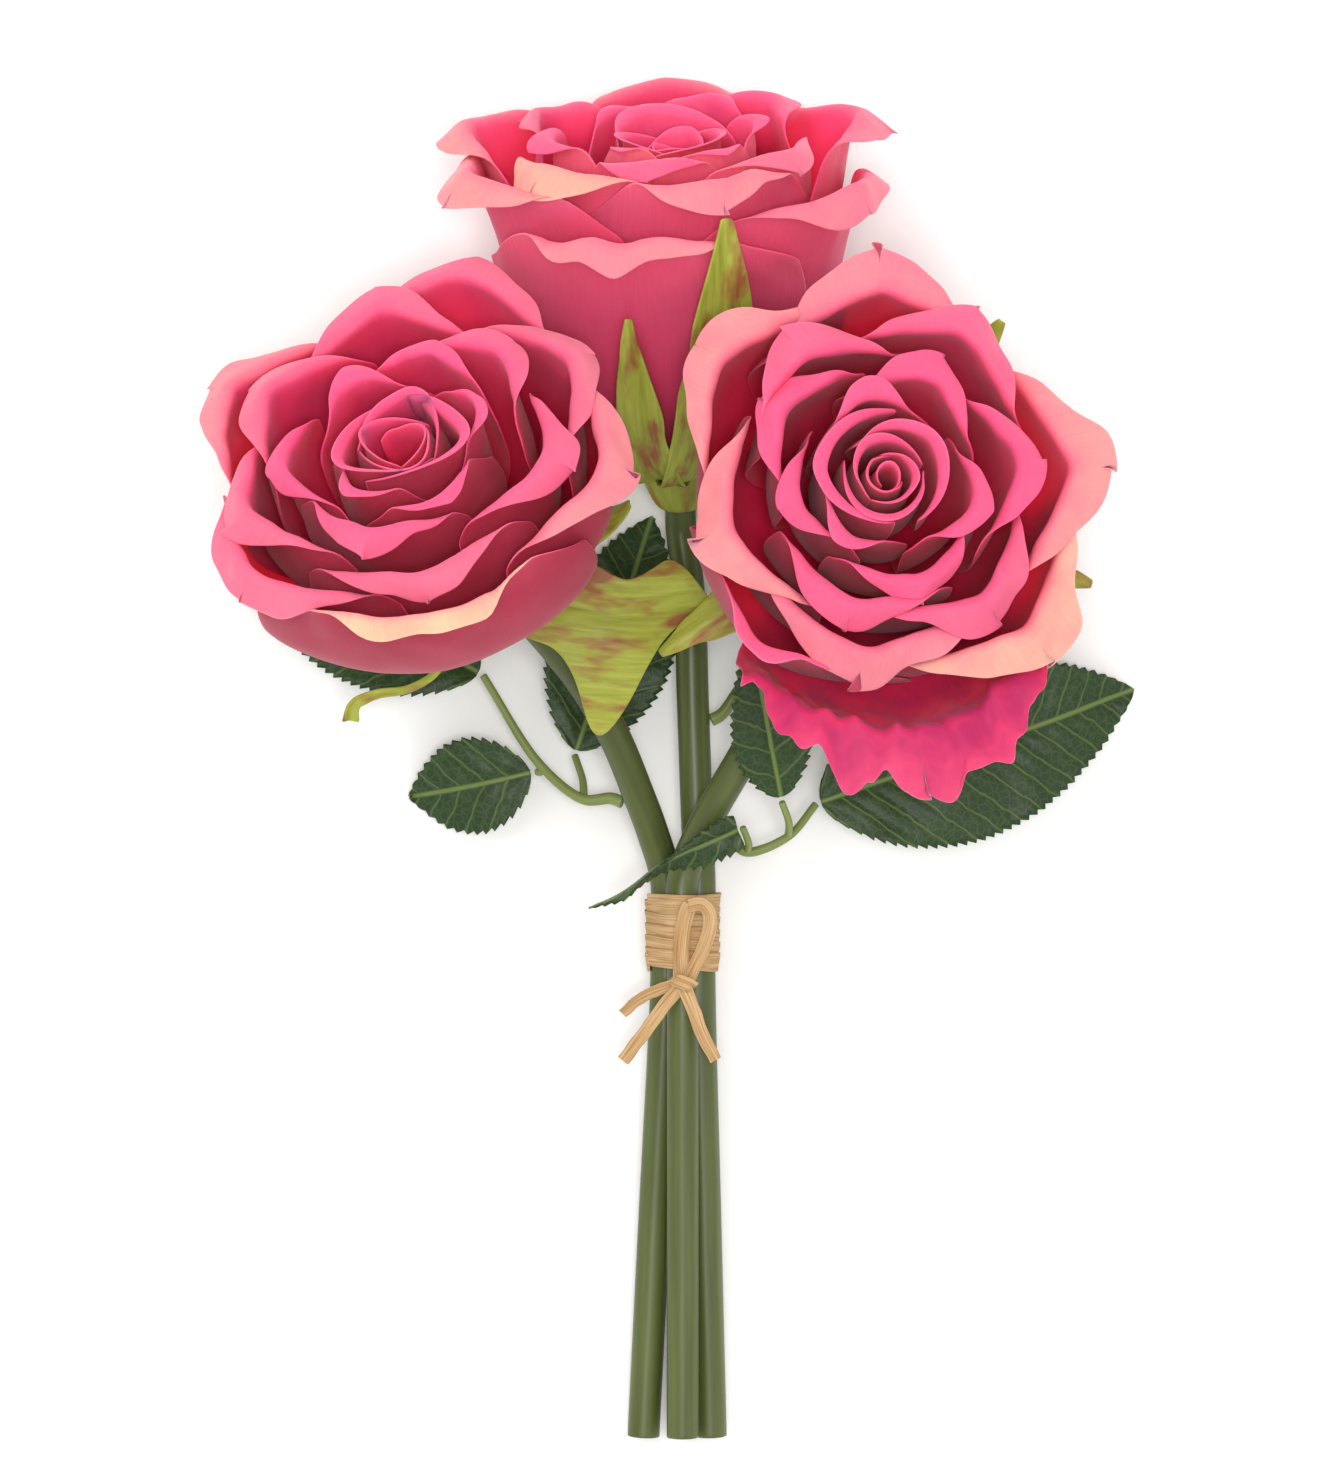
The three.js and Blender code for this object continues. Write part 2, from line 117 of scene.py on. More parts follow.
def petal_face():
    """Latex-coated cloth, the face to the heart: velvety, hot pink, with painted shade that turns it crimson
    deep down, pale on the lip.
    """
    material, tree, shader = new_material(
        "latex_petal_face", Roughness=0.55, Sheen_Weight=0.08, Sheen_Roughness=0.5,
        Subsurface_Weight=0.7, Subsurface_Radius=(1, 0.6, 0.5), Subsurface_Scale=0.003,
        IOR=1.4, Specular_IOR_Level=0.25,
    )
    blank = node(tree, ATTRIBUTE, {}, out=1, attribute_name="blank")
    rise = node(tree, ATTRIBUTE, {}, out=2, attribute_name="rise")
    lip = node(tree, ATTRIBUTE, {}, out=2, attribute_name="lip")
    tone = node(tree, ATTRIBUTE, {}, out=2, attribute_name="tone")
    mottle = node(tree, NOISE, {"Vector": blank, "Scale": 1 / MOTTLE, "Detail": 3.0})
    lengthwise = node(tree, MAPPING, {"Vector": blank, "Scale": (1 / VEIN_WIDTH, 1 / VEIN_LENGTH, 1.0)})
    vein = node(tree, NOISE, {"Vector": lengthwise, "Scale": 1.0, "Detail": 3.0})
    # Painted shade: the face darkens to crimson towards the petal's foot, deep in the head where shade falls
    # between the petals.
    wall = node(tree, RAMP, {0: rise}, stops=[
        (0.0, "#F4143A"), (0.5, "#F8204C"), (0.8, "#FC3A6C"), (1.0, "#FC608C")])
    wall = node(tree, MIX, {0: node(tree, MATH, {0: mottle, 1: 0.3}, operation="MULTIPLY"), 6: wall,
                            7: "#EE2E66"}, out=2, data_type="RGBA")
    pale = node(tree, RAMP, {0: tone}, stops=[
        (0.0, "#FC5C84"), (0.3, "#FA7A8C"), (0.6, "#FA9290"), (1.0, "#FABC98")])
    patchy = node(tree, MATH, {0: mottle, 1: 0.9, 2: 0.45}, operation="MULTIPLY_ADD")
    edge = node(tree, MATH, {0: lip, 1: patchy}, operation="MULTIPLY", use_clamp=True)
    colour = node(tree, MIX, {0: edge, 6: wall, 7: pale}, out=2, data_type="RGBA")
    faint = node(tree, MATH, {0: vein, 1: 0.22}, operation="MULTIPLY")
    colour = node(tree, MIX, {0: faint, 6: colour, 7: "#D8305E"}, out=2, data_type="RGBA")
    # Painted shade: on a petal that carries it, the face darkens to mauve in patches, as the hanging crumpled
    # petal looks in shade.
    painted_shade = node(tree, ATTRIBUTE, {}, out=2, attribute_name="painted_shade")
    painted_shade_blotches = node(tree, "ShaderNodeMapRange", {0: mottle, 1: 0.35, 2: 0.62, 3: 0.6, 4: 1.0})
    painted_shade_blotches = node(tree, MATH, {0: painted_shade, 1: painted_shade_blotches}, operation="MULTIPLY")
    colour = node(tree, MIX, {0: painted_shade_blotches, 6: colour, 7: "#9A1E58"}, out=2, data_type="RGBA")
    tree.links.new(colour, shader.inputs["Base Color"])
    ridges = node(tree, BUMP, {"Strength": 0.25, "Distance": 0.0002, "Height": vein})
    tree.links.new(ridges, shader.inputs["Normal"])
    return material


def petal_back():
    """Latex-coated cloth, the face away from the heart: duller, dusky rose with fine lengthwise veins."""
    material, tree, shader = new_material(
        "latex_petal_back", Roughness=0.65, Sheen_Weight=0.1, Sheen_Roughness=0.5,
        Subsurface_Weight=0.7, Subsurface_Radius=(1, 0.6, 0.5), Subsurface_Scale=0.003,
        IOR=1.4, Specular_IOR_Level=0.2,
    )
    blank = node(tree, ATTRIBUTE, {}, out=1, attribute_name="blank")
    rise = node(tree, ATTRIBUTE, {}, out=2, attribute_name="rise")
    mottle = node(tree, NOISE, {"Vector": blank, "Scale": 1 / MOTTLE, "Detail": 4.0})
    lengthwise = node(tree, MAPPING, {"Vector": blank, "Scale": (1 / VEIN_WIDTH, 1 / VEIN_LENGTH, 1.0)})
    vein = node(tree, NOISE, {"Vector": lengthwise, "Scale": 1.0, "Detail": 4.0})
    blush = node(tree, ATTRIBUTE, {}, out=2, attribute_name="blush")
    dusky = node(tree, RAMP, {0: rise}, stops=[
        (0.0, "#701024"), (0.4, "#821A2E"), (0.8, "#8E2438"), (1.0, "#B44458")])
    fresh = node(tree, RAMP, {0: rise}, stops=[
        (0.0, "#C01E48"), (0.4, "#DC3A64"), (0.8, "#EE5C80"), (1.0, "#F88498")])
    colour = node(tree, MIX, {0: blush, 6: dusky, 7: fresh}, out=2, data_type="RGBA")
    patches = node(tree, MATH, {0: mottle, 1: 0.4}, operation="MULTIPLY")
    colour = node(tree, MIX, {0: patches, 6: colour, 7: "#C04460"}, out=2, data_type="RGBA")
    streaks = node(tree, MATH, {0: vein, 1: 0.35}, operation="MULTIPLY")
    colour = node(tree, MIX, {0: streaks, 6: colour, 7: "#A82448"}, out=2, data_type="RGBA")
    tree.links.new(colour, shader.inputs["Base Color"])
    ridges = node(tree, BUMP, {"Strength": 0.35, "Distance": 0.0002, "Height": vein})
    tree.links.new(ridges, shader.inputs["Normal"])
    return material


PETAL_FACE = petal_face()
PETAL_BACK = petal_back()

# ---- Meshes ------------------------------------------------------------------------------------


def flat_grid(columns, rows):
    """A flat grid of faces, and each vertex's place on it: across -1..1 and along 0..1."""
    bm = bmesh.new()
    bmesh.ops.create_grid(bm, x_segments=columns, y_segments=rows, size=1)
    flat = np.array([vertex.co[:] for vertex in bm.verts])
    return bm, flat[:, 0], (flat[:, 1] + 1) / 2


def bend(bm, points):
    for vertex, point in zip(bm.verts, points):
        vertex.co = point


def write_attributes(bm, values):
    """Stores one number for each vertex under each name."""
    for name, numbers in values.items():
        layer = bm.verts.layers.float.new(name)
        for vertex, number in zip(bm.verts, numbers):
            vertex[layer] = number


def write_blank(bm, across, along, seed):
    """Stores each vertex's place on the flat blank in millimetres, for patterns that follow the sheet."""
    layer = bm.verts.layers.float_vector.new("blank")
    for vertex, x, y in zip(bm.verts, across, along):
        vertex[layer] = (x, y, seed * 37.0)


def make_piece(name, sheets, materials, thickness, replaces, levels=1):
    """Joins bent sheets into one piece, gives it a thickness and rounds it."""
    mesh = bpy.data.meshes.new(name)
    whole = bmesh.new()
    for bm in sheets:
        part = bpy.data.meshes.new("part")
        bm.to_mesh(part)
        bm.free()
        whole.from_mesh(part)
        bpy.data.meshes.remove(part)
    for face in whole.faces:
        face.smooth = True
    whole.to_mesh(mesh)
    whole.free()
    piece = bpy.data.objects.new(name, mesh)
    bpy.context.scene.collection.objects.link(piece)
    for material in materials:
        mesh.materials.append(material)
    if thickness:
        wall = piece.modifiers.new("thickness", "SOLIDIFY")
        wall.thickness = thickness * MM
        wall.offset = -1
        wall.material_offset = len(materials) - 1
    if levels:
        smooth = piece.modifiers.new("smooth", "SUBSURF")
        smooth.levels = smooth.render_levels = levels
    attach(piece, "root")
    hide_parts(replaces)
    return piece


# ---- Heads -------------------------------------------------------------------------------------

# Section of a head from the foot of a petal to its edge, as radius and height in millimetres.
HEART_SECTION = np.array([(3.0, 1.5), (5, 12), (5.6, 24), (5.4, 36), (5, 46)])
MIDDLE_SECTION = np.array([(5.5, 0), (18, 6.5), (25, 19), (27, 33), (26, 48)])
BOWL_SECTION = np.array([(10.5, -2.6), (31, 1.5), (43.5, 13.5), (47.5, 27.5), (48, 42)])
CUP_SECTION = np.array([(10.5, -2.6), (23, 2.5), (33, 14), (38.5, 30), (50, 47)])
PETAL_THICKNESS = 0.5
PLEAT_SPACING = 7.5  # between the narrow folds of a crumpled petal


def through(knots, pieces=16):
    """A smooth curve through the knots (centripetal Catmull-Rom), as closely spaced points."""
    knots = np.asarray(knots, dtype=float)
    ends = np.vstack([2 * knots[0] - knots[1], knots, 2 * knots[-1] - knots[-2]])
    points = []
    for a, b, c, d in zip(ends, ends[1:], ends[2:], ends[3:]):
        before, here, after = (max(np.linalg.norm(q - p) ** 0.5, 1e-6) for p, q in ((a, b), (b, c), (c, d)))
        leave = ((b - a) / before - (c - a) / (before + here) + (c - b) / here) * here
        arrive = ((c - b) / here - (d - b) / (here + after) + (d - c) / after) * here
        for t in np.arange(pieces) / pieces:
            points.append(b + leave * t + (3 * (c - b) - 2 * leave - arrive) * t ** 2
                          + (2 * (b - c) + leave + arrive) * t ** 3)
    return np.array(points + [knots[-1]])


class Cup:
    """The bowl that a petal lies on, from its foot up, named by its radius at the rim."""

    def __init__(self, rim, outer_section, lift=1.0):
        inside, outside = MIDDLE_SECTION, outer_section
        if rim < MIDDLE_SECTION[-1, 0]:
            inside, outside = HEART_SECTION, MIDDLE_SECTION
        share = (rim - inside[-1, 0]) / (outside[-1, 0] - inside[-1, 0])
        curve = through(inside * (1 - share) + outside * share)
        curve[:, 0] = np.maximum(curve[:, 0], 0.8)
        curve[:, 1] *= lift
        steps = np.hypot(*np.diff(curve, axis=0).T)
        self.arc = np.concatenate([[0], np.cumsum(steps)])
        self.curve = curve
        self.length = self.arc[-1]
        self.slope = (curve[-1] - curve[-4]) / np.hypot(*(curve[-1] - curve[-4]))

    def at(self, along):
        over = np.maximum(along - self.length, 0)
        radius = np.interp(along, self.arc, self.curve[:, 0]) + over * self.slope[0]
        height = np.interp(along, self.arc, self.curve[:, 1]) + over * self.slope[1]
        return radius, height


def unit(vectors):
    return vectors / np.maximum(np.linalg.norm(vectors, axis=-1, keepdims=True), 1e-9)


def smooth_over_grid(values, columns, rows):
    grid = values.reshape(rows + 1, columns + 1)
    padded = np.pad(grid, 1, mode="edge")
    mean = (padded[:-2, 1:-1] + padded[2:, 1:-1] + padded[1:-1, :-2] + padded[1:-1, 2:] + grid) / 5
    return mean.ravel()


def petal_sheet(petal, outer_section, seed, rows=32):
    """One petal: a flat blank wrapped on its cup, creased to a corner, its edge folded down outside."""
    columns = petal["columns"]
    bm, across, along = flat_grid(columns, rows)
    across = np.sign(across) * np.abs(across) ** 1.3
    along = 1 - (1 - along) ** 1.3
    cup = Cup(petal["rim"], outer_section, petal["lift"])
    azimuth = math.radians(petal["azimuth"])
    corner = math.radians(petal["corner"])
    fold = cup.length * petal["fold"]
    lip = petal["lip"]
    half = petal["width"] / 2
    ragged = np.array([noise.noise(Vector((a * half * 0.16, seed * 3.1, 0))) for a in across])
    tip = (fold + lip) * (1 - petal["shoulder"] * np.abs(across) ** 1.5) + ragged * petal["ruffle"] * 1.5
    y = along * tip
    x = across * (petal["claw"] + (half - petal["claw"]) * np.sin(along * math.pi * 0.6) ** 0.9)
    pieces = (np.arange(14) + 0.5) / 14
    flatness = min(corner * petal["rim"] / half, 0.8)

    def on_cup(px, py):
        """The section across is an arc, which towards the rim turns sharply in the middle instead."""
        radius, height = cup.at(py)
        share = np.clip(py / cup.length, 0, 1.15) ** 2
        along_arc = np.abs(px)[:, None] * pieces
        turn = (corner * share[:, None] * (1 - np.exp(-along_arc / 1.6))
                + along_arc * ((1 - flatness * share) / radius)[:, None])
        away = radius - np.abs(px) * np.sin(turn).mean(axis=1) + petal["lean"] * share
        aside = px * np.cos(turn).mean(axis=1)
        wind = 1 + petal["spiral"] * px / radius * share
        away, aside = away * wind, aside * wind
        return np.stack([away * math.cos(azimuth) + aside * math.sin(azimuth),
                         away * math.sin(azimuth) - aside * math.cos(azimuth), height], axis=-1)

    # How far each point lies beyond the two slanting folds that meet at the petal's corner.
    left, right = (math.radians(angle) for angle in petal["slant"])
    slant = np.where(x < 0, left, right)
    wave = np.array([noise.noise(Vector((px * 0.11, seed * 7.7, 0))) for px in x]) * petal["ruffle"] * 1.6
    round_over = np.sqrt(x ** 2 + 1.5 ** 2)
    toward_x, toward_y = np.sin(slant) * x / round_over, np.cos(slant)
    size = np.hypot(toward_x, toward_y)
    toward_x, toward_y = toward_x / size, toward_y / size
    past_fold = (np.sin(slant) * (round_over - 1.5) + np.cos(slant) * (y - fold - wave)) / size
    beyond = np.maximum(past_fold, 0)
    foot_x, foot_y = x - beyond * toward_x, y - beyond * toward_y
    step = 0.05
    here = on_cup(foot_x, foot_y)
    ahead = unit(on_cup(foot_x + step * toward_x, foot_y + step * toward_y) - here)
    beside = unit(on_cup(foot_x + step * toward_y, foot_y - step * toward_x) - here)
    outward = unit(np.cross(ahead, beside))
    outward *= np.sign(np.sum(outward * (on_cup(0 * x, foot_y) * [1, 1, 0]), axis=-1, keepdims=True))
    unroll = np.array([noise.noise(Vector((px * 0.09, seed * 1.9, 4))) for px in x])
    limit = np.radians(petal["roll"]) * (1 + 0.25 * unroll)
    radius = petal["roll_radius"]
    rolled = np.minimum(beyond / radius, limit)
    straight = beyond - radius * rolled
    forward = radius * np.sin(rolled) + straight * np.cos(rolled)
    out = radius * (1 - np.cos(rolled)) + straight * np.sin(rolled)
    points = here + ahead * forward[:, None] + outward * out[:, None]

    # Soft unevenness and finer puckers, both stronger towards the edge.
    share = np.clip(along, 0, 1) ** 3
    uneven = np.array([noise.noise(Vector((px * 0.06, py * 0.05, seed * 5.3))) for px, py in zip(x, y)])
    pucker = np.array([noise.noise(Vector((px * 0.24, py * 0.12, seed * 9.1))) for px, py in zip(x, y)])
    gather = np.array([noise.noise(Vector((px * 0.2, py * 0.07, seed * 2.9))) for px, py in zip(x, y)])
    swell = (uneven * 1.8 + pucker * petal["pucker"]) * petal["ruffle"] * share
    pleat = np.sin(2 * math.pi * x / PLEAT_SPACING + 7 * gather)
    swell += (gather + 0.45 * pleat) * petal["crumple"] * share
    points += outward * swell[:, None]

    paling = np.clip((past_fold + 2) / 8, 0, 1)
    # A petal's painted shade also holds back its pale lip.
    write_attributes(bm, {
        "rise": np.clip(y / (fold + lip), 0, 1),
        "lip": paling ** 2 * (3 - 2 * paling) * (1 - petal["painted_shade"]),
        "tone": np.full(len(x), petal["tone"]),
        "blush": np.full(len(x), petal["blush"]),
        "painted_shade": np.full(len(x), petal["painted_shade"]),
    })
    write_blank(bm, x, y, seed)
    return bm, points, (columns, rows)


class Stack:
    """The petals built so far in a head, which later ones must lie outside of."""

    def __init__(self):
        self.points = []
        self.faces = []
        self.tree = None

    def push_out(self, points, grid, reach=8.0, clearance=0.4):
        """Moves a sheet's points away from the axis until they clear the petals inside it."""
        if self.tree is None:
            return points
        radial = unit(points * [1, 1, 0])
        need = np.zeros(len(points))
        for i, (point, way) in enumerate(zip(points, radial)):
            start = Vector(point - way * clearance)
            travelled = 0.0
            direction = Vector(way)
            while travelled < reach:
                hit, _, _, distance = self.tree.ray_cast(start, direction, reach - travelled)
                if hit is None:
                    break
                travelled += distance + 0.02
                start = hit + direction * 0.02
                need[i] = travelled
        spread = need.copy()
        for _ in range(4):
            spread = np.maximum(smooth_over_grid(spread, *grid), need)
        for _ in range(3):
            spread = smooth_over_grid(spread, *grid)
        return points + radial * spread[:, None]

    def add(self, bm, points):
        first = len(self.points)
        self.points.extend(Vector(point) for point in points)
        self.faces.extend([first + vertex.index for vertex in face.verts] for face in bm.faces)
        self.tree = BVHTree.FromPolygons(self.points, self.faces)


def head_turn(head):
    """A head's own axes as columns, stretched to its shape."""
    z = Vector(head["axis"]).normalized()
    x = (Vector((1, 0, 0)) - z * z.x).normalized()
    return np.array([x, z.cross(x), z]).T * np.array(head["shape"])


def into_bunch(head, points):
    """Takes points from a head's own frame to the bunch, and keeps them off the table."""
    moved = np.array(head["foot"]) + points @ head_turn(head).T
    moved[:, 2] = np.maximum(moved[:, 2], TABLE + 0.6)
    return moved


def into_head(head, points):
    """Takes points from the bunch to a head's own frame."""
    return (points - np.array(head["foot"])) @ np.linalg.inv(head_turn(head)).T


PLAIN_PETAL = {
    "lift": 1.0, "fold": 0.93, "claw": 2.5, "shoulder": 0.26, "spiral": 0.0, "lean": 0.0, "ruffle": 1.0,
    "pucker": 0.8, "crumple": 0.0, "blush": 0.0, "painted_shade": 0.0, "corner": 28, "slant": (11, 11),
    "roll_radius": 1.5, "tone": 0.0, "columns": 28,
}


def heart_petals(rims, twist, opening, corner):
    """The rolled heart: petals wound round each other, each a little further out than the last."""
    petals = []
    for i, rim in enumerate(rims):
        petals.append(PLAIN_PETAL | {
            "azimuth": twist + 137.5 * i, "rim": rim, "lift": 0.93 + 0.01 * i, "width": 9 + 2.6 * rim,
            "lip": 1.5 + 0.4 * i, "fold": 0.96, "roll": opening + 9 * i, "roll_radius": 1.0, "slant": (6, 8),
            "spiral": 0.09, "claw": 2.0, "ruffle": 0.35, "shoulder": 0.1, "corner": corner + 3 * i,
            "columns": 18,
        })
    return petals


def open_petals(rows, blush, fullness):
    """The open petals from their rows: azimuth, rim radius, lip, roll, tone, and what differs from plain."""
    petals = []
    for azimuth, rim, lip, roll, tone, *others in rows:
        petal = PLAIN_PETAL | {
            "azimuth": azimuth, "rim": rim, "lip": lip * fullness, "roll": roll, "tone": tone,
            "width": 15 + 1.12 * rim, "roll_radius": (1.2 + 0.012 * rim) * fullness,
        }
        petals.append(petal | (others[0] if others else {}) | {"blush": blush})
    return petals


HEADS = {
    "left": {
        "foot": (-52.5, 82, 42), "axis": (-0.2, 0.57, 0.8), "shape": (1.1, 1.03, 1),
        "outer": BOWL_SECTION, "heart": ((5.5, 7, 8.5, 10, 11.5, 13), 20, 15, 30),
        "petals": [
            (237, 14, 4, 90, 0.0), (14, 15.5, 4, 100, 0.0), (120, 17, 4.5, 100, 0.0),
            (300, 18.5, 5, 120, 0.0),
            (70, 20, 6, 120, 0.0), (195, 21.5, 7, 130, 0.0), (258, 23.5, 9, 145, 0.05),
            (42, 25.5, 8, 130, 0.1), (150, 27.5, 9, 140, 0.25), (341, 29.5, 10, 145, 0.1),
            (206, 31, 10, 145, 0.2),
            (97, 32.5, 9, 110, 0.15), (278, 34.5, 10, 145, 0.2), (26, 36, 10, 140, 0.3),
            (150, 37.5, 10, 135, 0.45), (226, 39, 11, 140, 0.2), (346, 40.5, 12, 140, 0.5),
            (72, 42, 9, 110, 0.2),
            (276, 44, 9, 155, 1.0, {"width": 80, "ruffle": 1.6, "corner": 12, "slant": (4, 4)}),
        ],
    },
    "right": {
        "foot": (38.5, 90, 40), "axis": (0.12, 0.2, 0.972), "shape": (1.03, 1.03, 1),
        "fullness": 1.2,
        "outer": BOWL_SECTION, "heart": ((2.2, 3.6, 5.2, 6.8, 8.6, 10.6, 12.8), 75, 20, 0),
        "petals": [
            (230, 14.5, 4, 100, 0.0), (105, 16, 5, 110, 0.0), (340, 17.5, 5.5, 120, 0.0),
            (200, 19, 6, 130, 0.0), (65, 20.5, 7, 130, 0.0), (285, 22, 8, 145, 0.0), (150, 23.5, 8, 135, 0.0),
            (7, 25.5, 8, 135, 0.0), (255, 27.5, 9, 145, 0.05), (126, 29, 9, 135, 0.1),
            (308, 31, 10, 150, 0.1), (62, 32.5, 9, 135, 0.1), (200, 34, 11, 140, 0.6),
            (262, 36, 11, 145, 0.4), (4, 37.5, 11, 130, 0.6),
            (92, 39, 11, 130, 0.4), (145, 40.5, 10, 135, 0.6), (313, 42, 11, 135, 0.8),
            (236, 43, 4, 60, 0.0, {"lift": 0.97}),
            # The hanging, crumpled petal is darkened with painted shade.
            (278, 45, 12, 75, 0.0,
             {"lift": 0.88, "lean": 8, "ruffle": 1.8, "crumple": 3.2, "width": 76, "corner": 8,
              "painted_shade": 0.95, "columns": 72}),
        ],
    },
    "top": {
        "foot": (-1.1, 110, 6), "axis": (-0.03, 0.935, 0.353), "shape": (1.11, 0.95, 1.4),
        "tall": 1.1, "blush": 0.8,
        "outer": CUP_SECTION, "heart": ((3, 4.6, 6.4, 8.4, 10.6, 12.8), 140, 25, 5),
        "petals": [
            (237, 14.5, 4, 90, 0.0), (14, 16, 4, 100, 0.0), (120, 17.5, 4.5, 100, 0.0),
            (300, 19, 5, 120, 0.0),
            (70, 20.5, 6, 120, 0.0), (195, 22, 7, 130, 0.0), (262, 24, 9, 145, 0.05),
            (42, 26, 8, 130, 0.1), (150, 28, 9, 140, 0.25), (318, 30.5, 10, 145, 0.3),
            (226, 33, 12, 140, 0.9),
            (90, 35, 10, 120, 0.6), (285, 37, 11, 135, 0.5), (15, 39, 11, 130, 0.3), (165, 41, 11, 130, 0.6),
            (205, 43, 12, 130, 0.6, {"lift": 0.97}), (325, 45, 12, 130, 0.35, {"lift": 0.92}),
            (258, 47.5, 10, 125, 0.45,
             {"lift": 0.85, "width": 74, "ruffle": 2.0, "corner": 10, "slant": (4, 4)}),
        ],
    },
}


def build_head(name, head):
    stack = Stack()
    stretch = head["shape"][2]
    tall = stretch * head.get("tall", 1)

    def settle(petal, seed):
        bm, points, grid = petal_sheet(petal | {"lift": petal["lift"] * tall}, head["outer"], seed)
        points = stack.push_out(points, grid)
        bm.verts.index_update()
        stack.add(bm, points)
        bend(bm, place(into_bunch(head, points / [1, 1, stretch])))
        return bm

    seed = {"left": 1, "right": 40, "top": 80}[name]
    petals = heart_petals(*head["heart"])
    petals += open_petals(head["petals"], head.get("blush", 0.0), head.get("fullness", 1.0))
    sheets = [settle(petal, seed + i) for i, petal in enumerate(petals)]
    finishes = [PETAL_FACE, PETAL_BACK]
    make_piece(f"{name}_heart", sheets[:-12], finishes, PETAL_THICKNESS, f"{name}_bud")
    for i, sheet in enumerate(sheets[-12:], 1):
        make_piece(f"{name}_open_petal_{i:02d}", [sheet], finishes, PETAL_THICKNESS,
                   f"{name}_petal_{i:02d}")
    return stack


STACKS = {head_name: build_head(head_name, head) for head_name, head in HEADS.items()}

# ---- Green parts and raffia --------------------------------------------------------------------

# Sizes of the leaves' patterns in millimetres.
SIDE_VEIN_SPACING = 5.6
NET_MESH = 1.7
VEIN_WAVER = 5.0  # the length over which the side veins waver
TOOTH = 2.1
TOOTH_DEPTH = 1.2
FIBRE_WIDTH = 0.35
FIBRE_LENGTH = 14.0
CALYX_RIB = (1.1, 12.0)  # width and length of a rib on a sepal
CALYX_STREAK = (5.0, 16.0)
MOULD_GRAIN = (2.4, 50.0)


def lengthwise_scale(size):
    """The mapping scale of a pattern that is so wide and so long in millimetres."""
    width, length = size
    return (1 / width, 1 / length, 1.0)


def leaf_material(name, blade, young, vein):
    """Pressed cloth leaf with a satin face: dark blade, paler midrib, side veins and a fine net of veins."""
    material, tree, shader = new_material(
        name, Roughness=0.45, IOR=1.4, Specular_IOR_Level=0.4, Subsurface_Weight=0.1,
        Subsurface_Radius=(0.4, 1, 0.2), Subsurface_Scale=0.001,
    )
    blank = node(tree, ATTRIBUTE, {}, out=1, attribute_name="blank")
    wobble = node(tree, NOISE, {"Vector": blank, "Scale": 1 / VEIN_WAVER, "Detail": 2.0})
    aside = node(tree, "ShaderNodeSeparateXYZ", {0: blank}, out=0)
    aside = node(tree, MATH, {0: aside}, operation="ABSOLUTE")
    along = node(tree, "ShaderNodeSeparateXYZ", {0: blank}, out=1)
    climb = node(tree, MATH, {0: aside, 1: -0.75, 2: along}, operation="MULTIPLY_ADD")
    climb = node(tree, MATH, {0: wobble, 1: 2.5, 2: climb}, operation="MULTIPLY_ADD")
    phase = node(tree, MATH, {0: climb, 1: SIDE_VEIN_SPACING / 2}, operation="PINGPONG")
    side_vein = node(tree, "ShaderNodeMapRange", {0: phase, 1: 0.0, 2: 0.5, 3: 0.6, 4: 0.0})
    midrib = node(tree, "ShaderNodeMapRange", {0: aside, 1: 0.25, 2: 0.75, 3: 1.0, 4: 0.0})
    cells = node(tree, "ShaderNodeTexVoronoi", {"Vector": blank, "Scale": 1 / NET_MESH},
                 feature="DISTANCE_TO_EDGE")
    net = node(tree, "ShaderNodeMapRange", {0: cells, 1: 0.0, 2: 0.14, 3: 0.16, 4: 0.0})
    veins = node(tree, MATH, {0: side_vein, 1: midrib}, operation="MAXIMUM")
    veins = node(tree, MATH, {0: veins, 1: net}, operation="MAXIMUM")
    patches = node(tree, NOISE, {"Vector": blank, "Scale": 1 / MOTTLE, "Detail": 4.0})
    colour = node(tree, MIX, {0: patches, 6: blade, 7: young}, out=2, data_type="RGBA")
    colour = node(tree, MIX, {0: veins, 6: colour, 7: vein}, out=2, data_type="RGBA")
    tree.links.new(colour, shader.inputs["Base Color"])
    sunk = node(tree, BUMP, {"Strength": 0.5, "Distance": 0.0003, "Height": veins}, invert=True)
    tree.links.new(sunk, shader.inputs["Normal"])
    return material


def calyx_material():
    """Moulded soft plastic, yellow-green with lengthwise ribs and red-brown weathering in streaks."""
    material, tree, shader = new_material(
        "streaked_calyx", Roughness=0.5, IOR=1.45, Specular_IOR_Level=0.35, Subsurface_Weight=0.15,
        Subsurface_Radius=(0.8, 1, 0.2), Subsurface_Scale=0.001,
    )
    blank = node(tree, ATTRIBUTE, {}, out=1, attribute_name="blank")
    lengthwise = node(tree, MAPPING, {"Vector": blank, "Scale": lengthwise_scale(CALYX_RIB)})
    rib = node(tree, NOISE, {"Vector": lengthwise, "Scale": 1.0, "Detail": 3.0})
    broad = node(tree, MAPPING, {"Vector": blank, "Scale": lengthwise_scale(CALYX_STREAK)})
    streak = node(tree, NOISE, {"Vector": broad, "Scale": 1.0, "Detail": 3.0})
    colour = node(tree, RAMP, {0: rib}, stops=[(0.2, "#7E8A2C"), (0.5, "#989E3A"), (0.8, "#ACB04E")])
    rusty = node(tree, "ShaderNodeMapRange", {0: streak, 1: 0.5, 2: 0.64, 3: 0.0, 4: 0.85})
    colour = node(tree, MIX, {0: rusty, 6: colour, 7: "#8A4030"}, out=2, data_type="RGBA")
    tree.links.new(colour, shader.inputs["Base Color"])
    ridges = node(tree, BUMP, {"Strength": 0.5, "Distance": 0.0003, "Height": rib})
    tree.links.new(ridges, shader.inputs["Normal"])
    return material


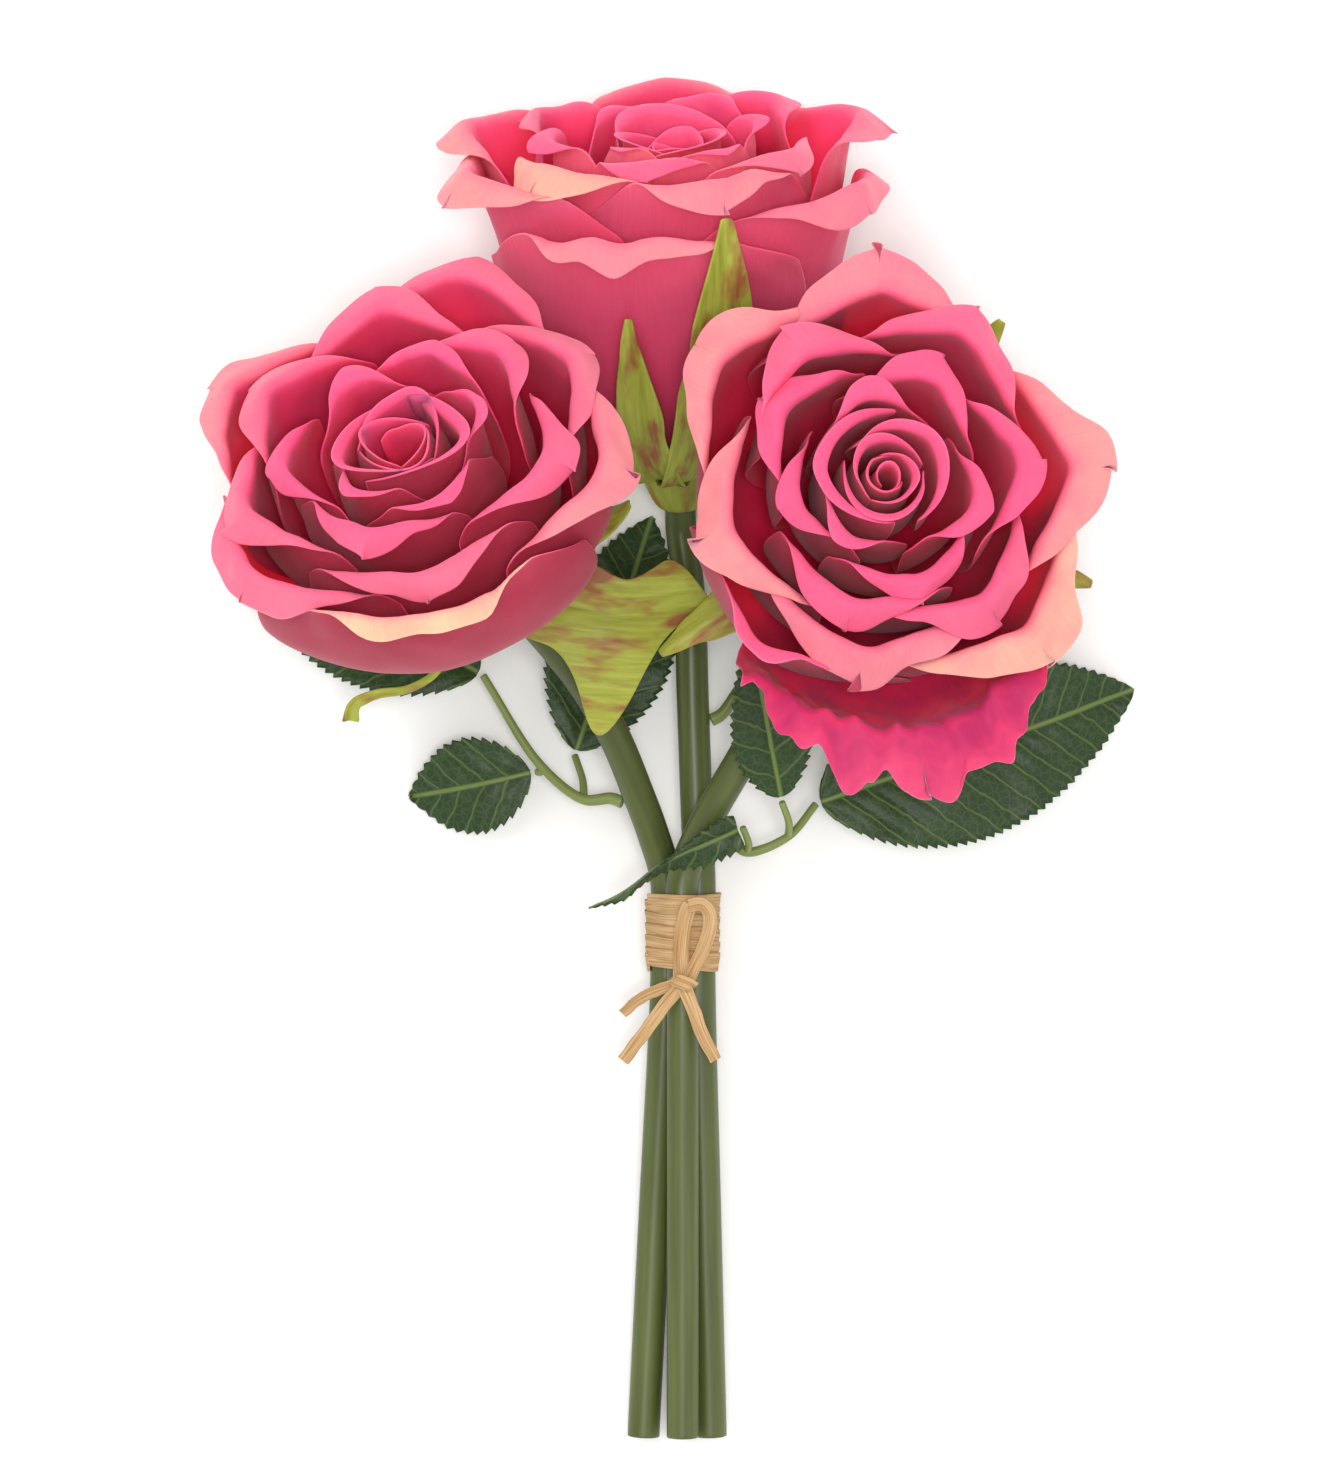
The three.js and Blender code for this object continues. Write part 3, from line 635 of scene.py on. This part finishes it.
def stem_material(name, dark, middle, light):
    """Moulded plastic: olive, slightly glossy, with faint lengthwise grain from the mould."""
    material, tree, shader = new_material(
        name, Roughness=0.38, IOR=1.46, Specular_IOR_Level=0.45, Subsurface_Weight=0.08,
        Subsurface_Radius=(0.6, 1, 0.2), Subsurface_Scale=0.001,
    )
    blank = node(tree, ATTRIBUTE, {}, out=1, attribute_name="blank")
    lengthwise = node(tree, MAPPING, {"Vector": blank, "Scale": lengthwise_scale(MOULD_GRAIN)})
    grain = node(tree, NOISE, {"Vector": lengthwise, "Scale": 1.0, "Detail": 2.0})
    colour = node(tree, RAMP, {0: grain}, stops=[(0.3, dark), (0.55, middle), (0.8, light)])
    tree.links.new(colour, shader.inputs["Base Color"])
    ridges = node(tree, BUMP, {"Strength": 0.2, "Distance": 0.0002, "Height": grain})
    tree.links.new(ridges, shader.inputs["Normal"])
    return material


def raffia_material():
    """Dry raffia strip: straw colour, matt, with fibres along its length."""
    material, tree, shader = new_material("dry_raffia", Roughness=0.7, IOR=1.4, Specular_IOR_Level=0.2)
    blank = node(tree, ATTRIBUTE, {}, out=1, attribute_name="blank")
    lengthwise = node(tree, MAPPING, {"Vector": blank, "Scale": (1 / FIBRE_WIDTH, 1 / FIBRE_LENGTH, 1.0)})
    fibre = node(tree, NOISE, {"Vector": lengthwise, "Scale": 1.0, "Detail": 4.0})
    colour = node(tree, RAMP, {0: fibre}, stops=[(0.25, "#8E683E"), (0.5, "#B49165"), (0.75, "#CCB088")])
    tree.links.new(colour, shader.inputs["Base Color"])
    ridges = node(tree, BUMP, {"Strength": 0.6, "Distance": 0.0002, "Height": fibre})
    tree.links.new(ridges, shader.inputs["Normal"])
    return material


LEAF_FACE = leaf_material("cloth_leaf_face", "#182C14", "#2B431F", "#62743C")
LEAF_BACK = leaf_material("cloth_leaf_back", "#3C5230", "#4A6040", "#76885A")
CALYX = calyx_material()
STEM = stem_material("moulded_stem", "#434B22", "#4D5728", "#58622E")
STALK = stem_material("moulded_stalk", "#66743A", "#748244", "#84904E")
RAFFIA = raffia_material()


def tube(path, radius, sides, rings, seed, flutes=0):
    """A closed tube along a path. Its radius in millimetres is a list of values from end to end."""
    curve = through(path)
    arc = np.concatenate([[0], np.cumsum(np.linalg.norm(np.diff(curve, axis=0), axis=1))])
    # Two close rings at each end keep the cut edges sharp.
    stations = np.concatenate([[0, 0.15], np.linspace(0.6, arc[-1] - 0.6, rings), [arc[-1] - 0.15, arc[-1]]])
    centres = np.stack([np.interp(stations, arc, curve[:, i]) for i in range(3)], axis=-1)
    tangents = unit(np.gradient(centres, axis=0))
    radii = np.interp(stations / arc[-1], np.linspace(0, 1, len(radius)), radius)
    radii[[0, -1]] -= 0.15
    side = Vector((1, 0, 0)) if abs(tangents[0][0]) < 0.8 else Vector((0, 0, 1))
    bm = bmesh.new()
    blank = bm.verts.layers.float_vector.new("blank")
    loops = []
    for centre, tangent, size, station in zip(centres, tangents, radii, stations):
        tangent = Vector(tangent)
        side = (side - tangent * side.dot(tangent)).normalized()
        up = tangent.cross(side)
        loop = []
        for i in range(sides):
            angle = 2 * math.pi * i / sides
            r = size * (1 + 0.012 * math.cos(flutes * angle)) if flutes else size
            out = side * math.cos(angle) + up * math.sin(angle)
            vertex = bm.verts.new(place(np.array(centre) + np.array(out) * r))
            # Going round there and back keeps the pattern whole where the ring closes.
            vertex[blank] = (size * math.pi * abs(1 - i / sides * 2), station, seed * 37.0)
            loop.append(vertex)
        loops.append(loop)
    for lower, upper in zip(loops, loops[1:]):
        for i in range(sides):
            bm.faces.new((lower[i], lower[(i + 1) % sides], upper[(i + 1) % sides], upper[i]))
    for loop, centre in ((loops[0][::-1], centres[0]), (loops[-1], centres[-1])):
        middle = bm.verts.new(place(centre))
        for i in range(sides):
            bm.faces.new((loop[i], loop[(i + 1) % sides], middle))
    return bm


def ribbon(path, half, facing, seed, columns, rows, relief=None, twist=0.0):
    """A sheet along a path, which half gives two half widths, and relief its height off the flat."""
    bm, across, along = flat_grid(columns, rows)
    curve = through(path)
    arc = np.concatenate([[0], np.cumsum(np.linalg.norm(np.diff(curve, axis=0), axis=1))])
    left, right = half(along)
    y = along * arc[-1]
    x = across * np.where(across < 0, left, right)
    slopes = unit(np.gradient(curve, axis=0))
    centre = np.stack([np.interp(y, arc, curve[:, i]) for i in range(3)], axis=-1)
    tangent = unit(np.stack([np.interp(y, arc, slopes[:, i]) for i in range(3)], axis=-1))
    facing = np.atleast_2d(np.asarray(facing, dtype=float))
    knots = np.linspace(0, 1, len(facing))
    face = np.stack([np.interp(along, knots, facing[:, i]) for i in range(3)], axis=-1)
    side = unit(np.cross(tangent, face))
    normal = np.cross(side, tangent)
    angle = (math.radians(twist) * along)[:, None]
    cosine, sine = np.cos(angle), np.sin(angle)
    side, normal = side * cosine + normal * sine, normal * cosine - side * sine
    height = relief(x, y, across, along) if relief else np.zeros(len(x))
    write_blank(bm, x, y, seed)
    return bm, centre + side * x[:, None] + normal * height[:, None]


def above_table(points, clearance=0.5):
    """Keeps points off the table: what would go through it lies on it."""
    points = np.array(points)
    points[:, 2] = np.maximum(points[:, 2], TABLE + clearance)
    return points


# Stems: the route of each from its cut end to its head, which the raffia ties at the origin.
REST = TABLE + STEM_RADIUS
RECEPTACLE_FOOT = -13
STEM_ROUTES = {
    "left": [(-2.45 * STEM_RADIUS, -110, REST), (-STEM_RADIUS - GAP / 2, -RING_RADIUS / 2),
             (-6.3, 21, 0.5), (-9.6, 30, 3.5), (-16, 45, 12), (-26, 60, 20), (-40, 73, 24)],
    "right": [(0, -110, REST + 1.75 * STEM_RADIUS), (0, RING_RADIUS),
              (3.9, 22, 6), (13.3, 38.7, 10.5), (23.5, 56, 15.5), (32, 72, 18.5)],
    "top": [(1.75 * STEM_RADIUS, -110, REST), (STEM_RADIUS + GAP / 2, -RING_RADIUS / 2),
            (3.2, 22, -2.8), (2.2, 50, -3.2), (1.4, 74, -2.6)],
}


def build_stem(name, head, seed):
    cut, (tied_x, tied_z), *route = STEM_ROUTES[name]
    axis = np.array(Vector(head["axis"]).normalized())
    top = np.array(head["foot"]) + axis * (RECEPTACLE_FOOT * head["shape"][2] - GAP)
    tied = [np.array((tied_x, y, tied_z)) for y in (-11.5, 0, 11.5)]
    middle = (np.array(cut) + tied[0]) / 2
    path = [cut, middle, *tied, *route, top - 5 * axis, top]
    bm = tube(path, [STEM_RADIUS] * 6 + [3.35], 32, 150, seed, flutes=7)
    make_piece(f"{name}_fluted_stem", [bm], [STEM], 0, f"{name}_stem", levels=0)


# Sepal sections from the receptacle to the tip: hugging the petals, level, or bent back.
HUGGING_BOWL = np.array([(7, -4.9), (19, -4.6), (33, -0.6), (45, 11), (50, 23)])
HUGGING_CUP = np.array([(7, -4.9), (16, -4.4), (25.5, 0.6), (35, 12), (40, 26), (46, 46)])
LEVEL = np.array([(7, -4.9), (18, -6.6), (30, -8), (41, -9.5), (51, -12)])
BENT_BACK = np.array([(7, -4.9), (15, -8.5), (23, -16), (28, -26), (29, -37)])
SEPAL_LENGTH = 48
# Each sepal's azimuth, lift from level, share of the full length and share of the full width.
SEPALS = {
    "left": [(10, 0.6, 0.7, 1), (150, 0.5, 0.9, 1), (80, 0.8, 0.8, 1)],
    "right": [(347, 0.1, 1, 1), (55, 0.6, 1, 1), (120, 0.9, 0.5, 1), (214, -0.1, 0.9, 0.9),
              (272, -0.15, 1, 1)],
    "top": [(284, 0.98, 1.5, 1.5), (258, 0.95, 1.1, 0.9), (182, 0.9, 0.95, 1), (112, 1, 0.55, 1),
            (40, 1, 0.6, 1)],
}
SEPAL_THICKNESS = 0.7
HUGS_FROM = 0.5  # the least lift of a sepal that lies against its petals


def sepal_half(breadth, seed, upper_lobe=0.0, lower_lobe=0.0):
    """Half widths of a sepal: full near its foot, drawn out to a point, ragged, and with any side lobes."""
    def half(along):
        width = 7 * breadth * (0.1 + 0.9 * np.sin(math.pi * (0.25 + 0.75 * along)))
        ragged = np.array([noise.noise(Vector((a * 9, seed * 2.3, 0))) for a in along]) * 1.3
        ragged *= np.sin(math.pi * np.clip(along, 0, 1))
        upper = upper_lobe * np.exp(-((along - 0.84) / 0.12) ** 2)
        lower = lower_lobe * np.exp(-((along - 0.58) / 0.13) ** 2)
        return width + ragged + upper, width - ragged + lower
    return half


def sepal_relief(x, y, across, along):
    """A keel along the middle, edges that turn up, and a slack surface."""
    slack = np.array([noise.noise(Vector((px * 0.15, py * 0.09, 3.3))) for px, py in zip(x, y)])
    edges = 0.035 * np.minimum(np.abs(x), 5) ** 2 - 0.012 * np.maximum(np.abs(x) - 8, 0) ** 2
    return -0.6 * np.exp(-(x / 1.1) ** 2) + edges + slack * 1.6 * along


def build_calyx(name, head, seed):
    outline = through([(0.02, RECEPTACLE_FOOT), (3.5, RECEPTACLE_FOOT + 0.1), (5.2, -11.2), (6.6, -8.4),
                       (7.4, -6), (9.6, -3.9)])
    bm, across, along = flat_grid(24, 18)
    spot = along * (len(outline) - 1)
    radius = np.interp(spot, np.arange(len(outline)), outline[:, 0])
    height = np.interp(spot, np.arange(len(outline)), outline[:, 1])
    turn = -across * math.pi
    radius *= 1 + 0.05 * np.cos(5 * turn) * along
    cup = np.stack([radius * np.cos(turn), radius * np.sin(turn), height], axis=-1)
    write_blank(bm, np.abs(across) * 20, along * 14, seed)
    bend(bm, place(into_bunch(head, cup)))
    bmesh.ops.remove_doubles(bm, verts=bm.verts, dist=0.02 * MM)
    sheets = [bm]
    for i, (azimuth, lift, share, breadth) in enumerate(SEPALS[name]):
        toward = BENT_BACK if lift < 0 else HUGGING_CUP if name == "top" else HUGGING_BOWL
        # The cup's section has one more point, so the level one gets a last point to match.
        level = LEVEL if len(toward) == len(LEVEL) else np.vstack([LEVEL, (61, -14)])
        section = through(level * (1 - abs(lift)) + toward * abs(lift))
        arc = np.concatenate([[0], np.cumsum(np.hypot(*np.diff(section, axis=0).T))])
        steps = np.linspace(0, min(share * SEPAL_LENGTH, arc[-1]), 7)
        r, z = np.interp(steps, arc, section[:, 0]), np.interp(steps, arc, section[:, 1])
        a = math.radians(azimuth)
        path = into_bunch(head, np.stack([r * math.cos(a), r * math.sin(a), z - 0.8], axis=-1))
        dr, dz = np.gradient(r), np.gradient(z)
        away = np.stack([dz * math.cos(a), dz * math.sin(a), -dr], axis=-1)
        origin = into_bunch(head, np.zeros((1, 3)) + [0, 0, 100])
        facing = into_bunch(head, away + [0, 0, 100]) - origin
        grid = (10, 30)
        sheet, points = ribbon(path, sepal_half(breadth, seed + i), facing, seed + i, *grid, sepal_relief)
        if lift >= HUGS_FROM:
            # Laid outside the petals, whose own frame is as tall as the head is stretched.
            tall = np.array((1, 1, head["shape"][2]))
            points = into_head(head, points) * tall
            points = STACKS[name].push_out(points, grid, reach=16.0, clearance=1.0)
            points = into_bunch(head, points / tall)
        bend(sheet, place(above_table(points)))
        sheets.append(sheet)
    for path, facing, half, columns in LOOSE_SEPALS.get(name, []):
        sheet, points = ribbon(path, half, facing, seed + 9, columns, 44, sepal_relief)
        bend(sheet, place(above_table(points)))
        sheets.append(sheet)
    make_piece(f"{name}_moulded_calyx", sheets, [CALYX], SEPAL_THICKNESS, f"{name}_calyx")


# Sepals that hang free of their head: a broad torn one over the stems, and a thin one that curls.
LOOSE_SEPALS = {
    "left": [
        ([(-43, 75, 32), (-32, 72.5, 36), (-21, 70.5, 38), (-10, 69.5, 37), (1, 70.5, 33), (5.5, 71, 31)],
         [(0.1, 0, 1), (0, -0.1, 1), (0, -0.2, 1)],
         sepal_half(1.3, 21, upper_lobe=7, lower_lobe=20), 24),
        ([(-49, 76, 30), (-50, 66, 28), (-53, 56.5, 27), (-59, 52.8, 26), (-66, 51.8, 25), (-70.5, 49.5, 24),
          (-71.6, 45.5, 22)],
         [(0, 0, 1), (0.2, -0.3, 1), (0.5, 0.3, 1)],
         lambda along: (0.7 + 1.3 * along ** 8, 0.7 + 1.3 * along ** 8), 6),
    ],
}


# Leaves: each stalk's route, its side stalks, and a leaflet at each end with its tip, width and facing.
LEAVES = {
    "left": {
        "from": (-9.2, 27, 3), "start": (-1, 0.35, -0.3),
        "route": [(-21.5, 29, 0), (-31, 36.5, -3), (-43.5, 56, -5.5)],
        "branches": [(1, (-32, 35, -3.4)), (0, (-23.5, 38.6, -6))],
        "leaflets": [
            {"tip": (-97, 84, None), "width": 33, "facing": (0.1, 0.1, 1), "fold": 0.12, "bow": 0.05},
            {"tip": (-59.5, 29.5, None), "width": 22, "facing": (0, -0.1, 1), "fold": 0.15, "bow": 0.1},
            {"tip": (-6.5, 91, None), "width": 29, "facing": (0.1, 0, 1), "fold": 0.1, "bow": 0.02},
        ],
    },
    "right": {
        "from": (3.4, 20, 5.6), "start": (1, 0, 0.1), "route": [(14, 17.6, 5.5), (23, 21, 4), (29, 28, 1)],
        "branches": [(1, (21.5, 28.5, 11)), (0, (13, 23, 12))],
        "leaflets": [
            {"tip": (99, 53, None), "width": 40, "facing": (0.05, -0.1, 1), "fold": 0.12, "bow": 0.03},
            {"tip": (14, 64, 23.5), "width": 19, "facing": (0.35, -0.2, 1), "fold": 0.3, "bow": 0.03},
            {"tip": (-20.5, 5.5, 12.5), "width": 14, "facing": (0.1, 0.5, 1), "fold": 0.35, "bow": 0.06,
             "twist": 110, "start": -35, "blunt": 0.5},
        ],
    },
    "top": {
        "from": (2.6, 44, -3.2), "start": (1, 0.6, -0.1), "route": [(13, 54, -4), (25, 68, -6), (35, 80, -7)],
        "branches": [(1, (31, 65, -7)), (1, (22.5, 76, -8.5))],
        "leaflets": [
            {"tip": (74, 118, None), "width": 32, "facing": (0, 0, 1), "fold": 0.1, "bow": 0.04},
            {"tip": (72, 66, None), "width": 26, "facing": (0, 0, 1), "fold": 0.1, "bow": 0.04},
            {"tip": (27, 112, None), "width": 20, "facing": (0, 0, 1), "fold": 0.1, "bow": 0.0},
        ],
    },
}
STALK_RADIUS = 1.1
LEAF_THICKNESS = 0.5


def build_leaf(name, leaf, seed):
    out = np.array(Vector(leaf["start"]).normalized())
    first = np.array(leaf["from"]) + out * (STEM_RADIUS + GAP + STALK_RADIUS * 0.4)
    route = [np.array(point, dtype=float) for point in leaf["route"]]
    main = [first, first + out * 2.5 * STALK_RADIUS, *route]
    tubes = [tube(main, [1.4, 1.1, 1.0, 0.9, 0.85], 12, 60, seed)]
    ends = [route[-1]]
    for i, (at, end) in enumerate(leaf["branches"]):
        bulge = (route[at] + np.array(end)) / 2 + (0.8, -0.8, 0.3)
        tubes.append(tube([route[at], bulge, end], [0.9, 0.8, 0.75], 10, 24, seed + 1 + i))
        ends.append(np.array(end, dtype=float))
    make_piece(f"{name}_round_leaf_stalk", tubes, [STALK], 0, f"{name}_leaf_stalk", levels=0)

    for i, (end, one) in enumerate(zip(ends, leaf["leaflets"])):
        x, y, z = one["tip"]
        tip = np.array((x, y, TABLE + 1.5 if z is None else z))
        toward = unit(tip - end)
        base = end + toward * (0.9 + GAP)
        length = np.linalg.norm(tip - base)
        facing = np.array(Vector(one["facing"]).normalized())
        path = [base + toward * length * t + facing * one["bow"] * length * 4 * t * (1 - t)
                for t in np.linspace(0, 1, 6)]
        teeth = length / TOOTH

        def half(along, width=one["width"], teeth=teeth, blunt=one.get("blunt", 0.06)):
            full = np.sin(math.pi * along ** 0.85) ** 0.8
            plain = width / 2 * (blunt * (1 - along) ** 2 + (1 - blunt) * full)
            tooth = (along * teeth) % 1 - 0.5
            size = TOOTH_DEPTH * np.clip(np.sin(math.pi * along) * 3, 0, 1)
            width = plain + tooth * size
            return width, width

        def relief(x, y, across, along, one=one, piece=seed * 3 + i):
            """Folded up along the midrib, pillowed between the side veins, and slack at the edge."""
            wobble = np.array([noise.noise(Vector((px * 0.05, py * 0.05, piece))) for px, py in zip(x, y)])
            climb = (y - 0.75 * np.abs(x)) / SIDE_VEIN_SPACING
            pillow = np.abs(np.sin(math.pi * climb)) ** 0.7
            pillow = pillow * np.clip(np.abs(x) / 2.5, 0, 1) * (1 - across ** 4)
            edge = np.array([noise.noise(Vector((px * 0.12, py * 0.12, piece + 7))) for px, py in zip(x, y)])
            return one["fold"] * np.abs(x) + 0.55 * pillow + wobble * 2.2 + edge * 1.4 * across ** 2

        start = math.radians(one.get("start", 0))
        across_leaf = np.cross(toward, facing)
        facing = facing * math.cos(start) + across_leaf * math.sin(start)
        rows = int(teeth * 5)
        bm, points = ribbon(path, half, facing, seed + 5 + i, 26, rows, relief, one.get("twist", 0.0))
        bend(bm, place(above_table(points)))
        make_piece(f"{name}_serrated_leaflet_{i + 1}", [bm], [LEAF_FACE, LEAF_BACK], LEAF_THICKNESS,
                   f"{name}_leaflet_{i + 1}", levels=0)


# The raffia: one strip wound round the three stems, then knotted into a loop and three cut tails.
BAND_LENGTH = 17
TURNS = 6
STRIP = 4.2


def round_stems(offset):
    """The outline that goes round the three tied stems, as points in X and Z, each with its normal."""
    corners = [(-STEM_RADIUS - GAP / 2, -RING_RADIUS / 2), (STEM_RADIUS + GAP / 2, -RING_RADIUS / 2),
               (0, RING_RADIUS)]
    points = []
    for (x, z), first in zip(corners, (-210, -90, 30)):
        for angle in np.radians(np.linspace(first, first + 120, 15)):
            normal = (math.cos(angle), math.sin(angle))
            away = STEM_RADIUS + offset
            points.append((x + away * normal[0], z + away * normal[1], *normal))
    return np.array(points + [points[0]])


def build_band(seed):
    outline = round_stems(GAP + 0.1)
    arc = np.concatenate([[0], np.cumsum(np.hypot(*np.diff(outline[:, :2], axis=0).T))])
    bm, across, along = flat_grid(8, 420)
    s = along * TURNS * arc[-1]
    x, z, nx, nz = (np.interp(s % arc[-1], arc, outline[:, i]) for i in range(4))
    rise = (BAND_LENGTH - STRIP) / 2
    y = np.clip((along * 2 - 1) * (rise + 1.5), -rise, rise) + across * STRIP / 2
    creases = np.array([noise.noise(Vector((a * 4.0, b * 0.05, 1.0))) for a, b in zip(across, s)])
    wander = np.array([noise.noise(Vector((b * 0.07, 2.0, 1.0))) for b in s])
    off = 0.45 + 0.3 * across + 0.16 * creases + np.clip(along * 1.2 - 0.95, 0, 1)
    y = y + wander * 0.5
    write_blank(bm, across * STRIP / 2, s, seed)
    bend(bm, place(np.stack([x + nx * off, y, z + nz * off], axis=-1)))
    make_piece("wound_raffia", [bm], [RAFFIA], 0.3, "raffia_band")


def raffia_half(width):
    def half(along):
        uneven = np.array([noise.noise(Vector((a * 5, width, 0))) for a in along]) * 0.35
        return width / 2 + uneven, width / 2 - uneven
    return half


def raffia_relief(x, y, across, along):
    """The strip is folded along its length and creased."""
    crease = np.array([noise.noise(Vector((px * 1.3, py * 0.06, 5.0))) for px, py in zip(x, y)])
    return 0.35 * np.abs(x) + 0.45 * crease


def build_bow(seed):
    surface = RING_RADIUS + STEM_RADIUS + GAP + 0.9
    knot = np.array((0, -BAND_LENGTH / 2 - 2.2, surface))
    up, lower = (0, 0, 1), (0, -0.3, 1)
    strands = [
        ([(0, -1, 0.2), (-0.4, 7, 0.6), (0.6, 14.5, 0.8), (1.8, 17, 1.0)], 3.4, up, 0),
        ([(1.2, 16.6, 1.2), (4.2, 17, 1.4), (6, 14.5, 1.4), (5, 9, 1.2), (2.4, 3.5, 0.9), (0.3, -1, 0.5)],
         3.0, up, 20),
        ([(0.4, 0, 0.3), (-5, -1.4, 0.2), (-9.4, -3.4, -0.4), (-13.3, -6.6, -1)], 2.8, lower, 30),
        ([(0.2, 0.3, 0.6), (-4, -5, 0.3), (-8.5, -11, 0), (-13, -17, -0.6)], 2.8, lower, -20),
        ([(-0.4, 0.3, 0.7), (2, -5, 0.4), (4, -11, 0), (7, -17, -0.4)], 3.0, lower, 40),
        ([(-2.2, 1.2, -0.6), (-1.4, 0.6, 1.3), (0.2, 0, 1.9), (1.7, -0.6, 1.3), (2.4, -1.2, -0.6)],
         2.8, up, 0),
    ]
    sheets = []
    for i, (path, width, facing, twist) in enumerate(strands):
        bm, points = ribbon(knot + np.array(path), raffia_half(width), facing, seed + i, 8, 36,
                            raffia_relief, twist)
        bend(bm, place(points))
        sheets.append(bm)
    make_piece("raffia_knot_loop_and_tails", sheets, [RAFFIA], 0.3, "raffia_bow")


for order, (head_name, head) in enumerate(HEADS.items()):
    build_stem(head_name, head, 200 + order)
    build_calyx(head_name, head, 210 + 20 * order)
    build_leaf(head_name, LEAVES[head_name], 300 + 20 * order)
build_band(400)
build_bow(410)

# ---- Stage -------------------------------------------------------------------------------------


def floor():
    bm = bmesh.new()
    bmesh.ops.create_grid(bm, x_segments=1, y_segments=1, size=3)
    mesh = bpy.data.meshes.new("floor")
    bm.to_mesh(mesh)
    bm.free()
    mesh.materials.append(new_material("matt_white_paint", Roughness=0.9, Base_Color="#F4F3F1")[0])
    plane = bpy.data.objects.new("floor", mesh)
    bpy.context.scene.collection.objects.link(plane)


def area_light(name, position, target, size, power):
    data = bpy.data.lights.new(name, "AREA")
    data.shape = "DISK"
    data.size = size
    data.energy = power
    lamp = bpy.data.objects.new(name, data)
    bpy.context.scene.collection.objects.link(lamp)
    lamp.location = position
    lamp.rotation_euler = (Vector(target) - Vector(position)).to_track_quat("-Z", "Y").to_euler()


def camera():
    data = bpy.data.cameras.new("camera")
    data.sensor_fit = "VERTICAL"
    data.sensor_height = 24
    framed = 0.3135  # height of the view where the bunch lies
    distance = 3.5
    data.lens = 24 * distance / framed
    data.clip_end = 20
    seat = bpy.data.objects.new("camera", data)
    bpy.context.scene.collection.objects.link(seat)
    centre = Vector(place((-4.7, 44.3, 40)))
    seat.location = centre + Vector((0, 0, distance))
    bpy.context.scene.camera = seat


floor()
camera()
area_light("key", (-0.5, 0.5, 1.3), (0, 0.05, 0.05), 0.9, 6)
area_light("fill", (0.8, -0.4, 1.2), (0, 0.05, 0.05), 1.2, 2)
area_light("overhead", (0.15, -0.1, 3.8), (0, 0.05, 0.05), 0.9, 62)
world = bpy.data.worlds.new("studio")
bpy.context.scene.world = world
world.use_nodes = True
world.node_tree.nodes["Background"].inputs[0].default_value = (1, 1, 1, 1)
world.node_tree.nodes["Background"].inputs[1].default_value = 0.9
bpy.context.scene.view_settings.view_transform = "Standard"
